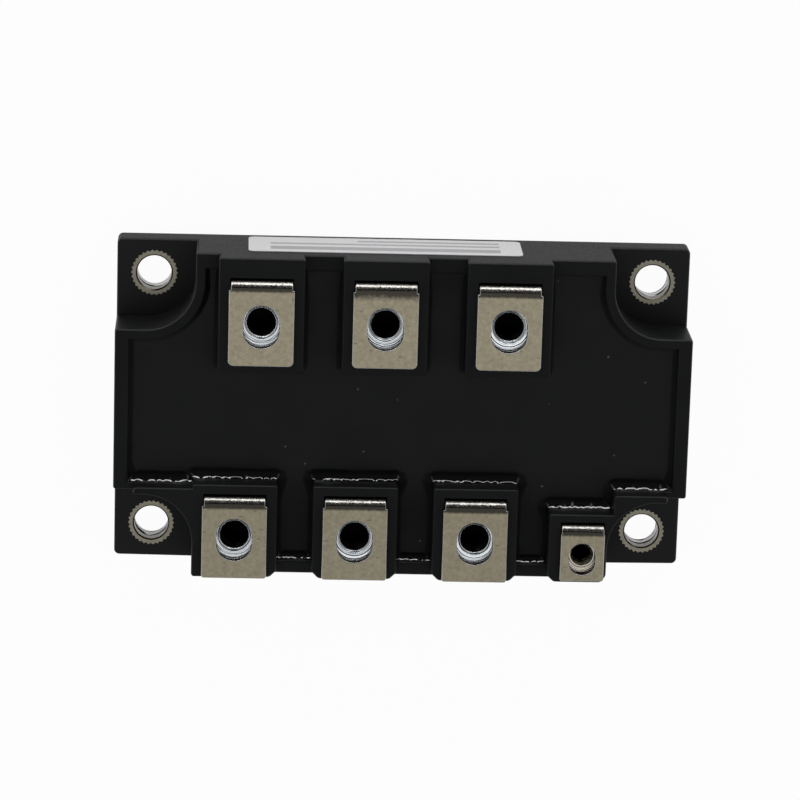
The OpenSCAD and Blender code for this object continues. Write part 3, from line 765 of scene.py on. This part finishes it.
# %% Height of the creep
CREEP_H, CREEP_W, CREEP_POWER = 0.8, 2.1, 1.3
LIP_H, LIP_W, LIP_POWER = 0.2, 0.5, 2
TURNED_SHARE = 0.42
SIDE_Y, SIDE_W, SIDE_SHARE = 24.0, 2, 0.7
WOBBLES = [(3.0, 0.25), (0.8, 0.15)]
LIP_WOBBLES = [(1.1, 0.6), (0.45, 1.7)]
BEAD_LEAST = 0.1


def between(value, none, full):
    """Zero at one limit, one at the other."""
    return min(1, max(0, (value - none) / (full - none)))


def creep_size(point, facing):
    """One along walls that look to the rear, less along the others and along the long walls."""
    side = between(abs(point.y) / MM, SIDE_Y, SIDE_Y + SIDE_W)
    return (TURNED_SHARE + (1 - TURNED_SHARE) * facing) * (1 - (1 - SIDE_SHARE) * side)


def wobbled(point, wobbles):
    """One, more or less, by noises of several spans."""
    return 1 + sum(rise * noise.noise(point / (span * MM)) for span, rise in wobbles)


def falling(gap, width, power):
    """One at the wall, zero at a width from it."""
    return max(0, 1 - gap / (width * MM)) ** power


def creep_height(gap, point, size, facing):
    """Height of the resin above the pool at a gap from the wall: a slope with a steep lip."""
    slope = CREEP_H * falling(gap, CREEP_W * size, CREEP_POWER) * wobbled(point, WOBBLES)
    beads = max(BEAD_LEAST, wobbled(point, LIP_WOBBLES))
    lip = LIP_H * falling(gap, LIP_W * size, LIP_POWER) * facing * beads
    return (slope + lip) * size * MM


print("highest creep in mm, without wobbles:", CREEP_H + LIP_H)

# %% [markdown]
# How far each place of the outline looks to the rear is taken from its direction, then widened and
# averaged over a few steps, because the resin runs round a corner before it drops. A point of a
# ring is pushed away from the nearest wall until it is far enough from every wall, so the rings
# close up neatly in corners.

# %% Where the resin climbs
SPAN = 7
PUSHES = 4


def around(values, i):
    """The values within a few steps of one place on the closed outline."""
    return [values[(i + k) % len(values)] for k in range(-SPAN, SPAN + 1)]


def first_step(before, here, after):
    """The direction from the outline into the pool."""
    side = ((here - before).normalized() + (after - here).normalized()).normalized()
    return Vector((-side.y, side.x, 0))


def push_from_walls(point, gap):
    """The point moved off the walls, its distance from them, and how far it looks to the rear."""
    for attempt in range(PUSHES):
        near, normal, index, distance = walls.find_nearest(point)
        if distance >= gap or distance == 0:
            break
        point = near + (point - near) * gap / distance
    near, normal, index, distance = walls.find_nearest(point)
    return point, distance, (point - near).normalized().y


neighbours = zip(outline[-1:] + outline[:-1], outline, outline[1:] + outline[:1])
inward = [first_step(before, point, after) for before, point, after in neighbours]
looks_back = [max(0, side.y) for side in inward]
widened = [max(around(looks_back, i)) for i in range(ring_size)]
facings = [sum(around(widened, i)) / (2 * SPAN + 1) for i in range(ring_size)]
sizes = [creep_size(point, facing) for point, facing in zip(outline, facings)]
print("share of the outline that looks to the rear:", round(sum(facings) / ring_size, 2))

# %% [markdown]
# The rings are now laid from the wall inwards, closer together near the wall where the height
# changes most. Each point also gets its gloss, which fades with the distance from the wall and on
# walls that don't look to the rear. A first and a last ring lie below the pool, so the rim is a
# closed body that dips into it.

# %% Rings of the rim
CREEP_STEPS = 18
STEP_POWER = 1.6
FIRST_GAP = 0.01
RIM_DEPTH = 0.2
GLOSS_FULL, GLOSS_END = 0.4, 1.0
GLOSS_FACING = (0.55, 0.96)
below = Vector((0, 0, POOL_Z - RIM_DEPTH * MM))
verts = [point + below for point in outline]
verts += [point + Vector((0, 0, POOL_Z + creep_height(0, point, size, facing)))
          for point, size, facing in zip(outline, sizes, facings)]
glosses = [0] * ring_size + [round(side) for side in looks_back]
ring = [point + FIRST_GAP * MM * side for point, side in zip(outline, inward)]
for k in range(1, CREEP_STEPS + 1):
    share = (k / CREEP_STEPS) ** STEP_POWER
    pushed = [push_from_walls(point, share * CREEP_W * size * MM)
              for point, size in zip(ring, sizes)]
    ring = [point for point, gap, rear in pushed]
    fade = between(share, GLOSS_END, GLOSS_FULL)
    glosses += [fade * between(rear, *GLOSS_FACING) for point, gap, rear in pushed]
    verts += [point + Vector((0, 0, POOL_Z + creep_height(gap, start, size, facing)))
              for (point, gap, rear), start, size, facing in zip(pushed, outline, sizes, facings)]
verts += [point + below for point in ring]
glosses += [0] * ring_size
ring_count = len(verts) // ring_size
faces = [[a * ring_size + i, a * ring_size + j, b * ring_size + j, b * ring_size + i]
         for a, b in zip(range(ring_count), [*range(1, ring_count), 0]) for i, j in ring_pairs]
print("rings:", ring_count, "points:", len(verts), "faces:", len(faces))

# %% [markdown]
# The rings become a mesh with the gloss stored on it. Points that fell together in tight corners
# are merged, and the faces are turned outwards. The rim could stay a piece of its own, but it and
# the pool are one casting, so they are joined.

# %% Potting
rim = bpy.data.objects.new("resin_rim", bpy.data.meshes.new("resin_rim"))
rim.data.from_pydata(verts, [], faces)
rim.data.attributes.new("gloss", "FLOAT", "POINT").data.foreach_set("value", glosses)
bpy.context.scene.collection.objects.link(rim)
only(rim)
bpy.ops.object.mode_set(mode="EDIT")
bpy.ops.mesh.select_all(action="SELECT")
bpy.ops.mesh.remove_doubles(threshold=MERGE_GAP * MM)
bpy.ops.mesh.dissolve_degenerate(threshold=MERGE_GAP * MM)
bpy.ops.mesh.select_all(action="SELECT")
bpy.ops.mesh.normals_make_consistent(inside=False)
bpy.ops.object.mode_set(mode="OBJECT")
rim_faces = len(rim.data.polygons)
only(resin)
rim.select_set(True)
bpy.ops.object.join()
bpy.ops.object.shade_smooth_by_angle(angle=math.radians(SMOOTH_DEGREES))
finish_piece(resin, "potting")
print("resin faces:", len(resin.data.polygons), "of them in the rim:", rim_faces)

# %% [markdown]
# Each terminal is stamped from strip and bent over its block. Stamping leaves a slight roll on the
# edges, which shows as a fine bright line, so every sharp edge of the copy is bevelled a little.
# The start of the bend is measured on the mesh and stored with the width of the painted dark band
# beside it. On the middle terminal of the rear row the band is broader. The wall of the hole gets a
# near-black finish, painted shade over a cut edge.

# %% Terminals
TERMINAL_RADIUS = 0.2
TERMINAL_SEGMENTS = 3
HOLE_REACH = 5.2
STEEP = 0.5
DARK_BAND_W = 0.42
BROAD_BAND_W = {"terminal_ac_middle": 1.3}
for name in PADS:
    piece = merged_copy(name, name + "_strip")
    rounded = round_edges(piece, is_corner, TERMINAL_RADIUS, TERMINAL_SEGMENTS)
    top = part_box(name)[1].z
    for vert in piece.data.vertices:
        vert.co.z = min(vert.co.z, top)
    on_top = [vert.co.y for vert in piece.data.vertices if vert.co.z > top - MERGE_GAP * MM]
    bend_start = max(on_top)
    # Width of the painted dark band beside the bend, broader on the middle rear terminal.
    band_w = BROAD_BAND_W.get(name, DARK_BAND_W) * MM
    for attribute, number in (("bend_y", bend_start), ("bend_w", band_w)):
        stored = piece.data.attributes.new(attribute, "FLOAT", "POINT")
        stored.data.foreach_set("value", [number] * len(piece.data.vertices))
    finish_piece(piece, name)
    # The wall of the hole gets the painted shade finish.
    piece.data.materials.append(HOLE_WALL_SHADE_FINISH)
    hole = axis_of(name.replace("terminal", "nut"))
    for face in piece.data.polygons:
        reach = (face.center - hole).xy.length
        if abs(face.normal.z) < STEEP and reach < HOLE_REACH * MM:
            face.material_index = 1
    print(name, "edges rounded:", rounded, "bend starts at y in mm:", round(bend_start / MM, 2))

# %% [markdown]
# A nut is held in a pocket under each pad, so only its mouth is seen. The thread could be a
# texture, but light falls into the mouth and shows its crests. A tooth profile is screwed round
# the axis to make a cutter, and the cutter is taken out of a copy of the plain nut.

# %% Thread cutter
TOOTH_TIP, TOOTH_BASE = 0.06, 0.46
TOOTH_OVERLAP = 0.05
TURN_STEPS = 48


def thread_cutter(axis, low_z, turns, pitch, crest_r, root_r):
    deep, shallow = root_r * MM, (crest_r - TOOTH_OVERLAP) * MM
    tip, base = TOOTH_TIP * pitch * MM, TOOTH_BASE * pitch * MM
    mesh = bpy.data.meshes.new("thread_cutter")
    mesh.from_pydata([(shallow, 0, -base), (deep, 0, -tip), (deep, 0, tip), (shallow, 0, base)],
                     [(0, 1), (1, 2), (2, 3), (3, 0)], [])
    cutter = bpy.data.objects.new("thread_cutter", mesh)
    bpy.context.scene.collection.objects.link(cutter)
    only(cutter)
    turn = cutter.modifiers.new("turn", "SCREW")
    turn.screw_offset = pitch * MM
    turn.iterations = turns
    turn.steps = turn.render_steps = TURN_STEPS
    turn.use_merge_vertices = False
    bpy.ops.object.modifier_apply(modifier="turn")
    bpy.ops.object.mode_set(mode="EDIT")
    bpy.ops.mesh.select_all(action="SELECT")
    bpy.ops.mesh.fill_holes(sides=4)
    bpy.ops.mesh.select_all(action="SELECT")
    bpy.ops.mesh.normals_make_consistent(inside=False)
    bpy.ops.transform.translate(value=(axis.x, axis.y, low_z))
    bpy.ops.object.mode_set(mode="OBJECT")
    return cutter


print("thread cutter ready, steps in a turn:", TURN_STEPS)

# %% [markdown]
# The mouth of a nut is opened to a small cone before the thread is cut, as a tap needs. The main
# nut is made once and copied, each copy with its own mesh, because cutting is slow. The gate nut
# has a finer thread and a duller zinc.

# %% Nuts with threads
MAIN_THREAD = {"pitch": 1.0, "crest_r": 2.5, "root_r": 3.0}
GATE_THREAD = {"pitch": 0.7, "crest_r": 1.65, "root_r": 2.0}
MAIN_MOUTH_R, GATE_MOUTH_R = 3.2, 2.2
MOUTH_SEARCH = 0.5
TOP_GAP = 0.01
THREAD_START = 1.5
THREAD_DEGREES = 30


def threaded_nut(node, mouth_r, thread):
    low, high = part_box(node)
    centre = axis_of(node)
    piece = merged_copy(node, node + "_threaded")
    for vert in piece.data.vertices:
        reach = (vert.co - centre).xy
        if vert.co.z > high.z - TOP_GAP * MM and reach.length < (mouth_r + MOUTH_SEARCH) * MM:
            vert.co.xy = centre.xy + reach.normalized() * mouth_r * MM
    pitch = thread["pitch"] * MM
    turns = math.floor((high.z - low.z) / pitch + 0.5)
    cutter = thread_cutter(centre, low.z - THREAD_START * pitch, turns, **thread)
    only(piece)
    cut = piece.modifiers.new("thread", "BOOLEAN")
    cut.object = cutter
    cut.operation = "DIFFERENCE"
    cut.solver = "EXACT"
    bpy.ops.object.modifier_apply(modifier="thread")
    bpy.data.objects.remove(cutter)
    bpy.ops.object.shade_smooth_by_angle(angle=math.radians(THREAD_DEGREES))
    finish_piece(piece, node)
    return piece


def copy_nut(first, first_node, node):
    piece = bpy.data.objects.new(node + "_threaded", first.data.copy())
    piece.data.transform(Matrix.Translation(axis_of(node) - axis_of(first_node)))
    bpy.context.scene.collection.objects.link(piece)
    finish_piece(piece, node)
    return piece


def store_axis(piece, node):
    axis = piece.data.attributes.new("nut_axis", "FLOAT_VECTOR", "POINT")
    centre = axis_of(node)
    for entry in axis.data:
        entry.vector = centre


MAIN_NUTS = [name for name in nodes if name.startswith("nut_") and name != "nut_gate"]
first_nut = threaded_nut(MAIN_NUTS[0], MAIN_MOUTH_R, MAIN_THREAD)
for name in MAIN_NUTS[1:]:
    store_axis(copy_nut(first_nut, MAIN_NUTS[0], name), name)
store_axis(first_nut, MAIN_NUTS[0])
gate_nut = threaded_nut("nut_gate", GATE_MOUTH_R, GATE_THREAD)
store_axis(gate_nut, "nut_gate")
gate_nut.data.materials[0] = GATE_NUT_FINISH
print("faces of a main nut:", len(first_nut.data.polygons))
print("faces of the gate nut:", len(gate_nut.data.polygons))

# %% [markdown]
# The base plate is seen only from below. A small radius all round keeps it from looking like a
# paper cut-out there.

# %% Base plate
PLATE_RADIUS = 0.25
PLATE_SEGMENTS = 2
plate = merged_copy("base_plate", "base_plate_nickelled")
rounded = round_edges(plate, is_corner, PLATE_RADIUS, PLATE_SEGMENTS)
finish_piece(plate, "base_plate")
print("base plate edges rounded:", rounded)

# %% [markdown]
# The floor is plain white. To the camera and to reflections it is nearly as bright as paper in a
# light tent, and a small share of ordinary shading is kept, so that the module still has a shadow.

# %% Floor
FLOOR_SIZE = 12
FLOOR_GAP = 0.05
FLOOR_WHITE = (0.9, 0.9, 0.9, 1)
GLOW_SHARE = 0.96
bpy.ops.object.select_all(action="DESELECT")
bpy.ops.mesh.primitive_plane_add(size=FLOOR_SIZE, location=(0, 0, -FLOOR_GAP * MM))
floor = bpy.context.object
floor.name = "studio_floor"
floor_paper = bpy.data.materials.new("studio_paper")
floor_paper.use_nodes = True
tree = floor_paper.node_tree
tree.nodes.clear()
rays = tree.nodes.new("ShaderNodeLightPath").outputs
seen = add_math(tree, "MAXIMUM", rays["Is Camera Ray"], rays["Is Glossy Ray"])
shown = add_math(tree, "MAXIMUM", seen, rays["Is Transmission Ray"])
glow_share = add_math(tree, "MULTIPLY", shown, GLOW_SHARE)
matte = add_node(tree, "ShaderNodeBsdfDiffuse", Color=FLOOR_WHITE).outputs[0]
glow = add_node(tree, "ShaderNodeEmission", Color=(1, 1, 1, 1), Strength=1.0).outputs[0]
both = add_node(tree, "ShaderNodeMixShader", {0: glow_share, 1: matte, 2: glow}).outputs[0]
add_node(tree, "ShaderNodeOutputMaterial", {"Surface": both})
floor.data.materials.append(floor_paper)
print("floor in m:", FLOOR_SIZE)

# %% [markdown]
# The bends of the terminals show where the light is. A pad mirrors a broad ceiling light. Over the
# bend the mirror sweeps backwards: first a dark stretch of the room, then one thin bright line,
# then the block. So a softbox hangs over the front and a long low one stands at the rear. They are
# in metres and watts.

# %% Softboxes
def softbox(name, place, target, width, height, watts):
    lamp = bpy.data.lights.new(name, "AREA")
    lamp.shape = "RECTANGLE"
    lamp.size, lamp.size_y, lamp.energy = width, height, watts
    box = bpy.data.objects.new(name, lamp)
    box.location = place
    box.rotation_mode = "QUATERNION"
    box.rotation_quaternion = (Vector(target) - Vector(place)).to_track_quat("-Z", "Y")
    bpy.context.scene.collection.objects.link(box)


softbox("top_softbox", place=(0, -0.30, 1.05), target=(0, -0.30, 0), width=1.6, height=0.75,
        watts=1.4)
softbox("rear_softbox", place=(0, 1.0, 0.225), target=(0, 0, 0.02), width=2.0, height=0.30,
        watts=5.3)
print("lamps:", len(bpy.data.lights))

# %% [markdown]
# The room between the lights could be built of walls and cards. Here it is drawn on the world, by
# direction, which needs no objects. It is pale over the front and dim over the rear, with a pale
# horizon. Only a narrow card over the rear is nearly black. Beside it the room is grey, so that
# the pads don't turn black when they are seen from the front.

# %% Room
CEILING = [(0.50, 0.62), (0.56, 0.015)]
CARD = [(0.24, 0.0), (0.34, 1.0)]
CARD_REAR = 0.06
CARD_SIDE = (0.42, 0.42, 0.42, 1)
HORIZON = [(0.20, 1.0), (0.34, 0.0)]
HORIZON_GREY = (0.75, 0.75, 0.75, 1)
world = bpy.data.worlds.new("studio_room")
bpy.context.scene.world = world
world.use_nodes = True
tree = world.node_tree
direction = split(tree, tree.nodes.new("ShaderNodeTexCoord").outputs["Generated"])
ceiling = add_ramp(tree, add_range(tree, direction["Y"], -1.0, 1.0), CEILING)
aside = add_ramp(tree, add_math(tree, "ABSOLUTE", direction["X"]), CARD)
rear = add_math(tree, "GREATER_THAN", direction["Y"], CARD_REAR)
lit = add_mix(tree, add_math(tree, "MULTIPLY", aside, rear), ceiling, CARD_SIDE)
horizon = add_ramp(tree, direction["Z"], HORIZON)
add_mix(tree, horizon, lit, HORIZON_GREY, tree.nodes["Background"].inputs["Color"])
bpy.context.scene.view_settings.view_transform = "Standard"
print("ceiling levels:", [level for where, level in CEILING])
